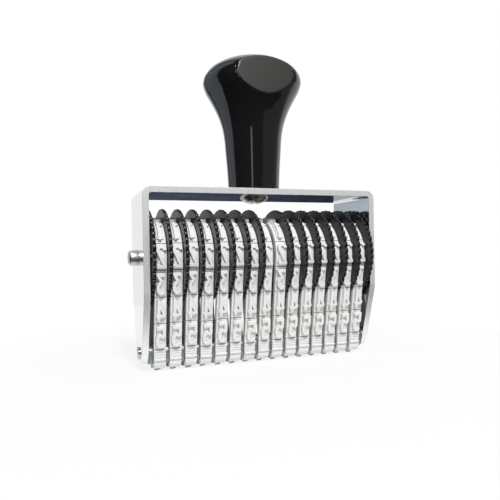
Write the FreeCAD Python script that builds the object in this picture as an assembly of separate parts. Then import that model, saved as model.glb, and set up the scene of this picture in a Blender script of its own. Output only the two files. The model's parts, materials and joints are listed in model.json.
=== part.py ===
import FreeCAD, Part
import math
import os

# A hand-held numbering machine with fifteen rubber number bands.
# Each band runs over its own thumb wheel at the top and round a flat foot bar at the bottom.
# X runs across the bands, -Y is the front with the flat on the handle, and Z is up.
# The origin is in the middle of the print face, where the lowest figures touch the paper.
# All lengths are in millimetres.

# Bands
band_count = 15
left_disc_count = 8
band_base = 1.5
band_fit = 0.15
figure_relief = 0.9
figure_pitch = 6.3
figure_gap = 0.85
figure_shoulder = 0.225
figures_over_top = 11
print_figure_length = 5.0
first_figure_rise = 2.75
rib_count = 4
rib_height = 0.3
rib_length = 0.45
rib_pitch = 0.75
rib_start = 0.1
relief_root_share = 0.4
side_clearance = 0.075

# Thumb wheels and the axle that carries them
axle_height = 26.95
axle_diameter = 3.0
bore_clearance = 0.05
drum_radius = 7.2
disc_radius = 11.85
disc_thickness = 0.8
tooth_count = 44
tooth_depth = 0.5
wheel_play = 0.12
wheel_headroom = 3.1
cap_wall = 0.33
cap_length = 2.2
cap_round = 0.7
cap_seat_depth = 1.4
cap_bore_clearance = 0.02

# Foot bar, the separators on it and the screws that hold it
bar_half_depth = 3.3
bar_height = 2.8
bar_corner = 0.6
separator_side_wall = 1.25
separator_top_wall = 0.55
separator_bottom_wall = 0.75
separator_thickness = 0.8
separator_corner = 1.3
separator_fit = 0.05
foot_screw_diameter = 2.0
foot_screw_head = 3.0
foot_screw_head_height = 0.4
foot_screw_length = 5.0
foot_screw_slot = 0.5
foot_screw_slot_depth = 0.25

# Frame, a bent strap of plated steel sheet
frame_inner_width = 57.7
end_room = 0.725
frame_depth = 18.7
sheet = 1.5
bend_inner = 0.6
taper_top = 18.4
plate_bottom = 1.8
plate_bottom_depth = 8.2
taper_shoulder = 6.0
plate_corner = 2.6

# Handle, turned plastic with one flat for the thumb
handle_height = 34.6
handle_foot_radius = 6.66
bulb_radius = 12.75
handle_foot_edge = 0.25
flat_distance = 10.1
flat_lean = 5.0
flat_height = 28.0
insert_wall = 0.95
insert_room = 2.5
insert_floor = 1.5
insert_clearance = 0.02

# Handle screw and washer under the web
screw_diameter = 4.0
screw_hole_clearance = 0.2
screw_grip = 9.0
screw_head_radius = 3.2
screw_head_height = 1.15
screw_head_dome = 0.85
screw_slot = 0.7
screw_slot_depth = 0.6
screw_slot_turn = 32.0
washer_radius = 3.6
washer_thickness = 0.4
thread_clearance = 0.05

# How far a cutting tool runs past the face that it cuts
overrun = 1.0

# Points up the side of the handle, as shares of its height and of the bulb's radius
handle_side_shares = [
    (0.145, 0.537), (0.289, 0.565), (0.434, 0.600), (0.520, 0.653), (0.607, 0.744),
    (0.694, 0.866), (0.760, 0.962), (0.818, 1.000), (0.879, 0.937), (0.931, 0.776),
    (0.971, 0.530),
]

# Places worked out from the sizes above
bar_bottom = figure_relief + band_base + band_fit
bar_top = bar_bottom + bar_height
bar_middle = bar_bottom + bar_height / 2
separator_depth = 2 * (bar_half_depth + separator_fit + separator_side_wall)
separator_top = bar_top + separator_fit + separator_top_wall
separator_bottom = bar_bottom - separator_fit - separator_bottom_wall
band_pitch = (frame_inner_width - 2 * end_room) / band_count
band_gap = max(disc_thickness, separator_thickness) + 2 * side_clearance
band_width = band_pitch - band_gap
figure_width = band_width - 2 * figure_shoulder
web_under = axle_height + disc_radius + wheel_headroom
frame_top = web_under + sheet
outer_half_width = frame_inner_width / 2 + sheet
axle_radius = axle_diameter / 2
bore_radius = axle_radius + bore_clearance
cap_diameter = axle_diameter + 2 * (cap_bore_clearance + cap_wall)
insert_radius = screw_diameter / 2 + thread_clearance + insert_wall
insert_length = screw_grip + insert_room + insert_floor
drum_width = band_pitch - disc_thickness - wheel_play
loop_top_radius = drum_radius + band_fit
loop_corner_radius = bar_corner + band_fit
corner_y = bar_half_depth - bar_corner
corner_z = bar_bottom + bar_corner


def band_x(index):
    """Middle of a band across the machine, counted from zero at the left."""
    return (index - (band_count - 1) / 2) * band_pitch


def point(y, z):
    """A point in the middle plane of a band."""
    return FreeCAD.Vector(0, y, z)


def run_normal():
    """Outward direction of the straight front run, between wheel and foot bar."""
    reach = math.hypot(corner_y, axle_height - corner_z)
    along_y = corner_y / reach
    along_z = (axle_height - corner_z) / reach
    lean = (loop_corner_radius - loop_top_radius) / reach
    side = math.sqrt(1 - lean * lean)
    return (lean * along_y - side * along_z, lean * along_z + side * along_y)


def loop_wire(offset):
    """Outline of a band's loop, a given distance outside its inner face."""
    ny, nz = run_normal()
    top = loop_top_radius + offset
    low = loop_corner_radius + offset
    half_turn = math.sqrt((1 - nz) / 2)
    half_side = ny / (2 * half_turn)
    front_top = point(top * ny, axle_height + top * nz)
    front_low = point(low * ny - corner_y, corner_z + low * nz)
    front_turn = point(low * half_side - corner_y, corner_z - low * half_turn)
    front_base = point(-corner_y, corner_z - low)
    back_base = point(corner_y, corner_z - low)
    back_turn = point(corner_y - low * half_side, corner_z - low * half_turn)
    back_low = point(corner_y - low * ny, corner_z + low * nz)
    back_top = point(-top * ny, axle_height + top * nz)
    crown = point(0, axle_height + top)
    edges = [
        Part.LineSegment(front_low, front_top).toShape(),
        Part.Arc(front_top, crown, back_top).toShape(),
        Part.LineSegment(back_top, back_low).toShape(),
        Part.Arc(back_low, back_turn, back_base).toShape(),
        Part.LineSegment(back_base, front_base).toShape(),
        Part.Arc(front_base, front_turn, front_low).toShape(),
    ]
    return Part.Wire(edges)


def loop_solid(inner, outer, width):
    """A closed loop of rubber between two offsets, centred on its band."""
    outside = Part.Face(loop_wire(outer)).extrude(FreeCAD.Vector(width, 0, 0))
    inside = Part.Face(loop_wire(inner)).extrude(FreeCAD.Vector(width, 0, 0))
    ring = outside.cut(inside)
    ring.translate(FreeCAD.Vector(-width / 2, 0, 0))
    return ring


def run_length():
    """Length of the straight run on either side of a band."""
    reach = math.hypot(corner_y, axle_height - corner_z)
    return math.sqrt(reach ** 2 - (loop_top_radius - loop_corner_radius) ** 2)


def over_length():
    """Length of the base face where it passes over the wheel."""
    return 2 * (loop_top_radius + band_base) * math.acos(run_normal()[1])


def loop_place(distance):
    """Place and outward direction on the base face, counted up the front run from its low end."""
    ny, nz = run_normal()
    length = run_length()
    low = loop_corner_radius + band_base
    top = loop_top_radius + band_base
    if distance <= length:
        y = low * ny - corner_y + nz * distance
        return y, corner_z + low * nz - ny * distance, ny, nz
    if distance <= length + over_length():
        angle = math.pi - math.asin(nz) - (distance - length) / top
        return (top * math.cos(angle), axle_height + top * math.sin(angle),
                math.cos(angle), math.sin(angle))
    rest = 2 * length + over_length() - distance
    y = corner_y - low * ny - nz * rest
    return y, corner_z + low * nz - ny * rest, -ny, nz


def loop_block(start, end, height):
    """A block that holds the relief between two places along the loop, from its root outwards."""
    y1, z1, ny1, nz1 = loop_place(start)
    y2, z2, ny2, nz2 = loop_place(end)
    root = band_base * (1 - relief_root_share)
    corners = [
        point(y1 - ny1 * root, z1 - nz1 * root),
        point(y1 + ny1 * height, z1 + nz1 * height),
        point(y2 + ny2 * height, z2 + nz2 * height),
        point(y2 - ny2 * root, z2 - nz2 * root),
    ]
    face = Part.Face(Part.makePolygon(corners + [corners[0]]))
    block = face.extrude(FreeCAD.Vector(band_width + 2 * overrun, 0, 0))
    block.translate(FreeCAD.Vector(-band_width / 2 - overrun, 0, 0))
    return block


def figure_pads():
    """One raised pad for each figure that runs over the wheel."""
    ring = loop_solid(band_base * relief_root_share, band_base + figure_relief, figure_width)
    pads = []
    for index in range(figures_over_top):
        start = first_figure_rise + index * figure_pitch + figure_gap / 2
        end = start + figure_pitch - figure_gap
        middle = (start + end) / 2
        reach = figure_relief + overrun
        first = loop_block(start, middle, reach)
        second = loop_block(middle, end, reach)
        pads.append(ring.common(first.fuse(second)))
    return pads


def print_pad():
    """The figure that is face down, ready to print."""
    root = band_base * relief_root_share
    height = band_base + figure_relief - root
    corner = FreeCAD.Vector(-figure_width / 2, -print_figure_length / 2, 0)
    return Part.makeBox(figure_width, print_figure_length, height, corner)


def fold_ribs():
    """Low ribs across the band above each lower corner, where it folds."""
    ring = loop_solid(band_base * relief_root_share, band_base + rib_height, band_width)
    whole = 2 * run_length() + over_length()
    ribs = []
    for index in range(rib_count):
        start = rib_start + index * rib_pitch
        for low, high in ((start, start + rib_length), (whole - start - rib_length, whole - start)):
            ribs.append(ring.common(loop_block(low, high, rib_height + overrun)))
    return ribs


def number_band():
    """One rubber band: a plain loop with raised figure pads and fold ribs."""
    base = loop_solid(0, band_base, band_width)
    return base.multiFuse(figure_pads() + fold_ribs() + [print_pad()]).removeSplitter()


def toothed_disc():
    """The thumb disc with round teeth, its left face in the plane X = 0."""
    root = disc_radius - tooth_depth
    step = 2 * math.pi / tooth_count
    edges = []
    for index in range(tooth_count):
        start = index * step
        places = [(root, start), (disc_radius, start + step / 2), (root, start + step)]
        arc = [point(radius * math.cos(angle), radius * math.sin(angle)) for radius, angle in places]
        edges.append(Part.Arc(*arc).toShape())
    return Part.Face(Part.Wire(edges)).extrude(FreeCAD.Vector(disc_thickness, 0, 0))


def cylinder(radius, length, start_x, z):
    """A cylinder along X that starts at the given place."""
    return Part.makeCylinder(radius, length, FreeCAD.Vector(start_x, 0, z), FreeCAD.Vector(1, 0, 0))


def number_wheel(disc_on_left):
    """A thumb disc and the drum that carries the band, moulded as one."""
    width = disc_thickness + drum_width
    disc = toothed_disc()
    drum = cylinder(drum_radius, width, 0, 0)
    wheel = disc.fuse(drum).cut(cylinder(bore_radius, width + 2 * overrun, -overrun, 0))
    wheel = wheel.removeSplitter()
    wheel.translate(FreeCAD.Vector(-(band_pitch + disc_thickness) / 2, 0, 0))
    if not disc_on_left:
        wheel = wheel.mirror(FreeCAD.Vector(0, 0, 0), FreeCAD.Vector(1, 0, 0))
    wheel.translate(FreeCAD.Vector(0, 0, axle_height))
    return wheel


def rounded_outline(corners):
    """A closed outline in the YZ plane from places and the radius of each corner."""
    count = len(corners)
    joints = []
    for index, (y, z, radius) in enumerate(corners):
        here = point(y, z)
        before = point(*corners[index - 1][:2]) - here
        after = point(*corners[(index + 1) % count][:2]) - here
        if radius == 0:
            joints.append((here, None, here))
            continue
        before.normalize()
        after.normalize()
        half = before.getAngle(after) / 2
        trim = radius / math.tan(half)
        middle = before + after
        middle.normalize()
        bulge = here + middle * (radius / math.sin(half) - radius)
        joints.append((here + before * trim, bulge, here + after * trim))
    edges = []
    for index, (start, bulge, end) in enumerate(joints):
        if bulge is not None:
            edges.append(Part.Arc(start, bulge, end).toShape())
        following = joints[(index + 1) % count][0]
        edges.append(Part.LineSegment(end, following).toShape())
    return Part.Wire(edges)


def strap_section():
    """Section of the bent strap across the machine, with rounded bends."""
    inner_x = frame_inner_width / 2
    outer_bend = bend_inner + sheet
    corners = [
        (-outer_half_width, 0, 0),
        (-outer_half_width, frame_top, outer_bend),
        (outer_half_width, frame_top, outer_bend),
        (outer_half_width, 0, 0),
        (inner_x, 0, 0),
        (inner_x, web_under, bend_inner),
        (-inner_x, web_under, bend_inner),
        (-inner_x, 0, 0),
    ]
    wire = rounded_outline(corners)
    wire.rotate(FreeCAD.Vector(0, 0, 0), FreeCAD.Vector(0, 0, 1), -90)
    return wire


def plate_outline():
    """Outline of a side plate, straight above and tapered to a narrow foot."""
    half = frame_depth / 2
    foot = plate_bottom_depth / 2
    corners = [
        (-half, frame_top, 0),
        (half, frame_top, 0),
        (half, taper_top, taper_shoulder),
        (foot, plate_bottom, plate_corner),
        (-foot, plate_bottom, plate_corner),
        (-half, taper_top, taper_shoulder),
    ]
    return rounded_outline(corners)


def frame():
    """The inverted U of sheet steel, with holes for the axle, the screws and the handle."""
    strap = Part.Face(strap_section()).extrude(FreeCAD.Vector(0, frame_depth, 0))
    strap.translate(FreeCAD.Vector(0, -frame_depth / 2, 0))
    plates = Part.Face(plate_outline()).extrude(FreeCAD.Vector(2 * outer_half_width, 0, 0))
    plates.translate(FreeCAD.Vector(-outer_half_width, 0, 0))
    body = strap.common(plates)
    through = 2 * (outer_half_width + overrun)
    body = body.cut(cylinder(axle_radius, through, -through / 2, axle_height))
    body = body.cut(cylinder(foot_screw_diameter / 2, through, -through / 2, bar_middle))
    hole = Part.makeCylinder(screw_diameter / 2 + screw_hole_clearance, sheet + 2 * overrun,
                             FreeCAD.Vector(0, 0, web_under - overrun))
    return body.cut(hole)


def handle_profile():
    """Half section of the handle above the frame."""
    side = [FreeCAD.Vector(handle_foot_radius, 0, 0)]
    side += [FreeCAD.Vector(r * bulb_radius, 0, h * handle_height) for h, r in handle_side_shares]
    side.append(FreeCAD.Vector(0, 0, handle_height))
    curve = Part.BSplineCurve()
    curve.interpolate(Points=side, InitialTangent=FreeCAD.Vector(0, 0, handle_height),
                      FinalTangent=FreeCAD.Vector(-bulb_radius, 0, 0))
    foot = Part.LineSegment(FreeCAD.Vector(0, 0, 0), side[0]).toShape()
    axis = Part.LineSegment(side[-1], FreeCAD.Vector(0, 0, 0)).toShape()
    return Part.Face(Part.Wire([foot, curve.toShape(), axis]))


def handle_flat_cutter():
    """The block that takes the thumb flat off the front of the bulb."""
    reach = 2 * bulb_radius
    block = Part.makeBox(2 * reach, reach, 2 * reach,
                         FreeCAD.Vector(-reach, -flat_distance - reach, -reach))
    block.rotate(FreeCAD.Vector(0, 0, 0), FreeCAD.Vector(1, 0, 0), -flat_lean)
    block.translate(FreeCAD.Vector(0, 0, flat_height))
    return block


def handle():
    """The turned handle with its thumb flat and the pocket for the threaded insert."""
    body = handle_profile().revolve(FreeCAD.Vector(0, 0, 0), FreeCAD.Vector(0, 0, 1), 360)
    foot_edges = [edge for edge in body.Edges
                  if edge.BoundBox.ZMax < handle_foot_edge and edge.BoundBox.XMax > insert_radius]
    body = body.makeFillet(handle_foot_edge, foot_edges)
    body = body.cut(handle_flat_cutter())
    pocket = Part.makeCylinder(insert_radius + insert_clearance, insert_length + insert_clearance)
    body = body.cut(pocket)
    body.translate(FreeCAD.Vector(0, 0, frame_top))
    return body


def handle_insert():
    """The threaded brass insert moulded into the handle."""
    outside = Part.makeCylinder(insert_radius, insert_length)
    inside = Part.makeCylinder(screw_diameter / 2 + thread_clearance, insert_length - insert_floor)
    insert = outside.cut(inside)
    insert.translate(FreeCAD.Vector(0, 0, frame_top))
    return insert


def handle_washer():
    """The washer between the web and the head of the handle screw."""
    washer = Part.makeCylinder(washer_radius, washer_thickness)
    hole = Part.makeCylinder(screw_diameter / 2 + screw_hole_clearance, washer_thickness)
    washer = washer.cut(hole)
    washer.translate(FreeCAD.Vector(0, 0, web_under - washer_thickness))
    return washer


def handle_screw():
    """The slotted screw with a domed head that holds the handle from below."""
    head_top = web_under - washer_thickness
    head_bottom = head_top - screw_head_height
    dome_radius = (screw_head_radius ** 2 + screw_head_dome ** 2) / (2 * screw_head_dome)
    half_turn = math.asin(screw_head_radius / dome_radius) / 2
    lowest = FreeCAD.Vector(0, 0, head_bottom)
    halfway = FreeCAD.Vector(dome_radius * math.sin(half_turn), 0,
                             head_bottom + dome_radius * (1 - math.cos(half_turn)))
    shoulder = FreeCAD.Vector(screw_head_radius, 0, head_bottom + screw_head_dome)
    rim = FreeCAD.Vector(screw_head_radius, 0, head_top)
    centre = FreeCAD.Vector(0, 0, head_top)
    section = [
        Part.Arc(lowest, halfway, shoulder).toShape(),
        Part.LineSegment(shoulder, rim).toShape(),
        Part.LineSegment(rim, centre).toShape(),
        Part.LineSegment(centre, lowest).toShape(),
    ]
    head = Part.Face(Part.Wire(section)).revolve(FreeCAD.Vector(0, 0, 0), FreeCAD.Vector(0, 0, 1), 360)
    shank_length = washer_thickness + sheet + screw_grip
    shank = Part.makeCylinder(screw_diameter / 2, shank_length, FreeCAD.Vector(0, 0, head_top))
    slot = Part.makeBox(screw_slot, 2 * screw_head_radius, screw_slot_depth + overrun,
                        FreeCAD.Vector(-screw_slot / 2, -screw_head_radius, head_bottom - overrun))
    slot.rotate(FreeCAD.Vector(0, 0, 0), FreeCAD.Vector(0, 0, 1), -screw_slot_turn)
    return head.fuse(shank).cut(slot)


def axle():
    """The plain rod through both plates and all fifteen wheels."""
    length = 2 * (outer_half_width + cap_seat_depth)
    return cylinder(axle_radius, length, -length / 2, axle_height)


def axle_cap():
    """A domed cap pressed on the right end of the axle, against the plate."""
    cap = cylinder(cap_diameter / 2, cap_length, outer_half_width, axle_height)
    end_edges = [edge for edge in cap.Edges
                 if edge.BoundBox.XMin > outer_half_width + cap_length - cap_round]
    cap = cap.makeFillet(cap_round, end_edges)
    seat = cylinder(axle_radius + cap_bore_clearance, cap_seat_depth + cap_bore_clearance,
                    outer_half_width, axle_height)
    return cap.cut(seat)


def centre_spacer():
    """The plain ring between the eighth and ninth wheels, where no thumb disc stands."""
    middle = (band_x(left_disc_count - 1) + band_x(left_disc_count)) / 2
    ring = cylinder(drum_radius, disc_thickness, middle - disc_thickness / 2, axle_height)
    return ring.cut(cylinder(bore_radius, band_pitch, middle - band_pitch / 2, axle_height))


def foot_bar():
    """The flat bar that every band runs round, tapped at both ends."""
    length = frame_inner_width
    corners = [
        (-bar_half_depth, bar_bottom, bar_corner),
        (bar_half_depth, bar_bottom, bar_corner),
        (bar_half_depth, bar_top, bar_corner),
        (-bar_half_depth, bar_top, bar_corner),
    ]
    bar = Part.Face(rounded_outline(corners)).extrude(FreeCAD.Vector(length, 0, 0))
    bar.translate(FreeCAD.Vector(-length / 2, 0, 0))
    for start in (-length / 2 - overrun, length / 2 - foot_screw_length - thread_clearance):
        tapped = foot_screw_length + thread_clearance + overrun
        radius = foot_screw_diameter / 2 + thread_clearance
        bar = bar.cut(cylinder(radius, tapped, start, bar_middle))
    return bar


def separator(left_x, thickness):
    """A thin plate on the foot bar that keeps neighbouring bands apart."""
    half = separator_depth / 2
    hole_half = bar_half_depth + separator_fit
    outside = [
        (-half, separator_bottom, separator_corner),
        (half, separator_bottom, separator_corner),
        (half, separator_top, separator_corner),
        (-half, separator_top, separator_corner),
    ]
    inside = [
        (-hole_half, bar_bottom - separator_fit, bar_corner),
        (hole_half, bar_bottom - separator_fit, bar_corner),
        (hole_half, bar_top + separator_fit, bar_corner),
        (-hole_half, bar_top + separator_fit, bar_corner),
    ]
    plate = Part.Face(rounded_outline(outside)).extrude(FreeCAD.Vector(thickness, 0, 0))
    hole = Part.Face(rounded_outline(inside)).extrude(FreeCAD.Vector(thickness, 0, 0))
    plate = plate.cut(hole)
    plate.translate(FreeCAD.Vector(left_x, 0, 0))
    return plate


def foot_screw():
    """The low slotted screw that holds the right end of the foot bar."""
    head = cylinder(foot_screw_head / 2, foot_screw_head_height, outer_half_width, bar_middle)
    end_edges = [edge for edge in head.Edges
                 if edge.BoundBox.XMin > outer_half_width + foot_screw_head_height / 2]
    head = head.makeFillet(foot_screw_head_height / 2, end_edges)
    shank_length = sheet + foot_screw_length
    shank = cylinder(foot_screw_diameter / 2, shank_length, outer_half_width - shank_length, bar_middle)
    slot_corner = FreeCAD.Vector(outer_half_width + foot_screw_head_height - foot_screw_slot_depth,
                                 -foot_screw_slot / 2, bar_middle - foot_screw_head)
    slot = Part.makeBox(foot_screw_slot_depth + overrun, foot_screw_slot, 2 * foot_screw_head, slot_corner)
    return head.fuse(shank).cut(slot)


def mirrored(shape):
    """The same piece on the other end of the machine."""
    return shape.mirror(FreeCAD.Vector(0, 0, 0), FreeCAD.Vector(1, 0, 0))


def moved(shape, x):
    """A copy of a piece at another place across the machine."""
    copy = shape.copy()
    copy.translate(FreeCAD.Vector(x, 0, 0))
    return copy


def export(name, shape):
    """Write one sub-part as a STEP file."""
    shape.exportStep("parts/" + name + ".step")


def export_separators():
    """Sixteen separators: one in each gap and a thicker one at each plate."""
    band_side = (band_pitch - separator_thickness) / 2
    end_thickness = frame_inner_width / 2 - band_x(band_count - 1) - band_side - separator_fit
    for index in range(band_count + 1):
        left_x = band_x(index) - band_pitch / 2 - separator_thickness / 2
        thickness = separator_thickness
        if index == 0:
            left_x = band_x(0) - band_side - end_thickness
            thickness = end_thickness
        if index == band_count:
            thickness = end_thickness
        export("separator_%02d" % (index + 1), separator(left_x, thickness))


def export_bands_and_wheels():
    """Every band with the wheel that turns under it."""
    band = number_band()
    left_wheel = number_wheel(True)
    right_wheel = number_wheel(False)
    for index in range(band_count):
        wheel = left_wheel if index < left_disc_count else right_wheel
        export("number_band_%02d" % (index + 1), moved(band, band_x(index)))
        export("number_wheel_%02d" % (index + 1), moved(wheel, band_x(index)))


os.makedirs("parts", exist_ok=True)
export("frame", frame())
export("handle", handle())
export("handle_insert", handle_insert())
export("handle_screw", handle_screw())
export("handle_washer", handle_washer())
export("axle", axle())
export("axle_cap_left", mirrored(axle_cap()))
export("axle_cap_right", axle_cap())
export("centre_spacer", centre_spacer())
export("foot_bar", foot_bar())
export("foot_screw_left", mirrored(foot_screw()))
export("foot_screw_right", foot_screw())
export_separators()
export_bands_and_wheels()
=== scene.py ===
# %% [markdown]
# This is a hand-held numbering machine: fifteen rubber number bands side by side in a bent steel frame.
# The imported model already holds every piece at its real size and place, and nothing here moves one.
# The script gives each surface its finish, and models again the pieces whose small forms show most:
# the bands with their raised figures, the toothed wheels and the polished handle.

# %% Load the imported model
import json
import math

import bmesh
import bpy
from mathutils import Matrix, Vector

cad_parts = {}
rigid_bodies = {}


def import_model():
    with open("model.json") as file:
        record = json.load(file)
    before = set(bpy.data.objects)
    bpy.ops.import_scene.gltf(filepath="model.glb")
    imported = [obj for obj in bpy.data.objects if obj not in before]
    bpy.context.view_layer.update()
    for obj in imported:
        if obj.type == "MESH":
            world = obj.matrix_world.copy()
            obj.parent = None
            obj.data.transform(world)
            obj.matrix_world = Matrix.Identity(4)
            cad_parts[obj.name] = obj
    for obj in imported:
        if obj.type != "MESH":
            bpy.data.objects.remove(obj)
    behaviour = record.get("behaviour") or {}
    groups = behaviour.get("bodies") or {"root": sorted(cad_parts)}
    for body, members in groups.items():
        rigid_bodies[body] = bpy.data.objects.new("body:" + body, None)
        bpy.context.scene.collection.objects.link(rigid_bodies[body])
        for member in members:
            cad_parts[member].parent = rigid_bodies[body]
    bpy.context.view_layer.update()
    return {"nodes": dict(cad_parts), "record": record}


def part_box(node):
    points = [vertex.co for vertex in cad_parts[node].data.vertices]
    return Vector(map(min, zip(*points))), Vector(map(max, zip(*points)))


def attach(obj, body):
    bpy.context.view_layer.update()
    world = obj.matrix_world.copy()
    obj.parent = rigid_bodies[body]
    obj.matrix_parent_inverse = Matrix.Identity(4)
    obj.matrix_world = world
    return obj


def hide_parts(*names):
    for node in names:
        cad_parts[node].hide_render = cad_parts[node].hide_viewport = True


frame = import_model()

# %% [markdown]
# Blender counts in metres and the machine is small, so lengths are written in millimetres times MM. Points
# less than a micron apart count as one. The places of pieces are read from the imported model, and the bands'
# centres and the axle set all the rest.

# %% Units and places taken from the model
MM = 0.001
same_place = 0.001 * MM


def middle(node):
    """Centre of a node's box at rest."""
    low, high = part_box(node)
    return (low + high) / 2


band_count = sum(name.startswith("number_band_") for name in frame["nodes"])
band_names = ["number_band_%02d" % (index + 1) for index in range(band_count)]
wheel_names = ["number_wheel_%02d" % (index + 1) for index in range(band_count)]
band_x = [middle(name).x for name in band_names]
axle_z = middle("axle").z
band_low, band_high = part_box("number_band_01")
band_width = band_high.x - band_low.x
print("band pitch mm", round((band_x[1] - band_x[0]) / MM, 3), "axle height mm", round(axle_z / MM, 2))

# %% [markdown]
# The camera stands low, a little to the left of the machine's front, and is turned a degree about its
# line of sight, as the photograph's was. A camera looks along its own -Z, so the columns of its rotation are
# its right, its up and the reverse of its line of sight, all worked out from a turn and a roll.

# %% Camera
camera_place = Vector((-47.95, -126.91, 28.36)) * MM
camera_turn = math.radians(20.16)
camera_roll = math.radians(1.06)
camera_lens = 37.32
nearest_seen = 10 * MM

forward = Vector((math.sin(camera_turn), math.cos(camera_turn), 0))
level = Vector((math.cos(camera_turn), -math.sin(camera_turn), 0))
upright = Vector((0, 0, 1))
right = level * math.cos(camera_roll) - upright * math.sin(camera_roll)
up = upright * math.cos(camera_roll) + level * math.sin(camera_roll)

camera = bpy.data.objects.new("camera", bpy.data.cameras.new("camera"))
bpy.context.scene.collection.objects.link(camera)
camera.matrix_world = Matrix.LocRotScale(
    camera_place, Matrix((right, up, -forward)).transposed(), None)
camera.data.lens = camera_lens
camera.data.clip_start = nearest_seen
bpy.context.scene.camera = camera
print("camera distance mm", round(camera_place.length / MM, 1))

# %% [markdown]
# Every finish here is a node material: the Principled shader gives the plain colour and gloss, and a few
# pattern nodes vary them. These helpers keep each material short. Patterns read Object coordinates, which
# are metres in the machine's frame, so a pattern stays on its piece and fifteen alike bands differ a little.

# %% Helpers for materials
def new_material(name, colour, metallic=0.0, roughness=0.5):
    """A material whose main shader has these plain values."""
    material = bpy.data.materials.new(name)
    material.use_nodes = True
    shader = material.node_tree.nodes["Principled BSDF"]
    shader.inputs["Base Color"].default_value = (*colour, 1)
    shader.inputs["Metallic"].default_value = metallic
    shader.inputs["Roughness"].default_value = roughness
    return material, shader


def add(material, kind, **settings):
    """A new node of a kind, with its settings."""
    node = material.node_tree.nodes.new(kind)
    for name, value in settings.items():
        setattr(node, name, value)
    return node


def join(material, source, target):
    """Link an output to an input."""
    material.node_tree.links.new(source, target)


def spots(material, size, detail=3.0, stretch=(1, 1, 1)):
    """Cloudy noise from 0 to 1 whose spots are about a size across."""
    place = add(material, "ShaderNodeTexCoord")
    mapping = add(material, "ShaderNodeMapping")
    mapping.inputs["Scale"].default_value = stretch
    noise = add(material, "ShaderNodeTexNoise")
    noise.inputs["Scale"].default_value = 1 / size
    noise.inputs["Detail"].default_value = detail
    join(material, place.outputs["Object"], mapping.inputs["Vector"])
    join(material, mapping.outputs["Vector"], noise.inputs["Vector"])
    return noise.outputs["Fac"]


def spread(material, value, low, high, start=0.3, end=0.7):
    """Stretch a pattern from start..end to low..high."""
    node = add(material, "ShaderNodeMapRange")
    join(material, value, node.inputs["Value"])
    for name, number in (("From Min", start), ("From Max", end), ("To Min", low), ("To Max", high)):
        node.inputs[name].default_value = number
    return node.outputs["Result"]


def blended(material, factor, first, second):
    """Mix two colours, each given as a plain colour or as a node's output."""
    node = add(material, "ShaderNodeMix", data_type="RGBA")
    join(material, factor, node.inputs[0])
    for socket, colour in ((node.inputs[6], first), (node.inputs[7], second)):
        if isinstance(colour, tuple):
            socket.default_value = (*colour, 1)
        else:
            join(material, colour, socket)
    return node.outputs[2]


def two_tones(material, pattern, first, second):
    """Clouds of two colours that follow a pattern."""
    return blended(material, spread(material, pattern, 0, 1), first, second)


def maths(material, operation, *values):
    """The result of a Math node on outputs and plain numbers."""
    node = add(material, "ShaderNodeMath", operation=operation)
    for socket, value in zip(node.inputs, values):
        if isinstance(value, (int, float)):
            socket.default_value = value
        else:
            join(material, value, socket)
    return node.outputs["Value"]


def part(material, vector, axis):
    """One axis of a vector's output."""
    node = add(material, "ShaderNodeSeparateXYZ")
    join(material, vector, node.inputs[0])
    return node.outputs[axis]


def between(material, factor, value, number):
    """A value where the factor is zero and a plain number where it is one."""
    node = add(material, "ShaderNodeMix", data_type="FLOAT")
    node.inputs[3].default_value = number
    join(material, factor, node.inputs[0])
    join(material, value, node.inputs[2])
    return node.outputs[0]


def dented(material, shader, height, depth):
    """Let a pattern raise the surface by a depth in metres, in the light alone."""
    node = add(material, "ShaderNodeBump")
    node.inputs["Distance"].default_value = depth
    join(material, height, node.inputs["Height"])
    join(material, node.outputs["Normal"], shader.inputs["Normal"])


# %% [markdown]
# The frame is steel sheet with a bright plated face, close to a mirror. What makes plate look real is that
# the mirror is never quite flat or clean: the sheet waves by a few microns, and its gloss drifts. Its cut
# edges were sheared, so they are rough and scatter the light: they look whiter and mirror nothing clearly,
# and the shears have left fine marks on them. The mask for the edges comes from the normal, because the
# sheet's edges are the faces that look to the front or the back.

# %% Mask of the sheet's cut edges
def facing_front_or_back(material):
    """One on faces that look along Y, zero on the others."""
    normal = add(material, "ShaderNodeTexCoord").outputs["Normal"]
    size = maths(material, "ABSOLUTE", part(material, normal, "Y"))
    return spread(material, size, 0, 1, start=0.5, end=0.9)


# %% Plated steel of the frame
cut_edge_metal = 0.6
cut_edge_roughness = 0.42


def plated_steel():
    material, shader = new_material("plated_steel", (0.80, 0.82, 0.82), metallic=1.0)
    edge = facing_front_or_back(material)
    join(material, spread(material, edge, 1, cut_edge_metal, start=0, end=1), shader.inputs["Metallic"])
    clouds = spots(material, 9 * MM)
    gloss = between(material, edge, spread(material, clouds, 0.07, 0.14), cut_edge_roughness)
    join(material, gloss, shader.inputs["Roughness"])
    tint = two_tones(material, clouds, (0.78, 0.80, 0.82), (0.83, 0.84, 0.82))
    shears = spots(material, 0.5 * MM, detail=4.0, stretch=(1, 1, 0.3))
    cut_tint = two_tones(material, shears, (0.86, 0.90, 0.89), (0.97, 0.99, 0.98))
    join(material, blended(material, edge, tint, cut_tint), shader.inputs["Base Color"])
    dented(material, shader, spots(material, 14 * MM, detail=2.0), 0.02 * MM)
    return material


# %% [markdown]
# Small turned and stamped parts share one recipe with other values: a satin metal whose roughness streaks
# along one direction, as a tool or a drawing die leaves it.

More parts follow.
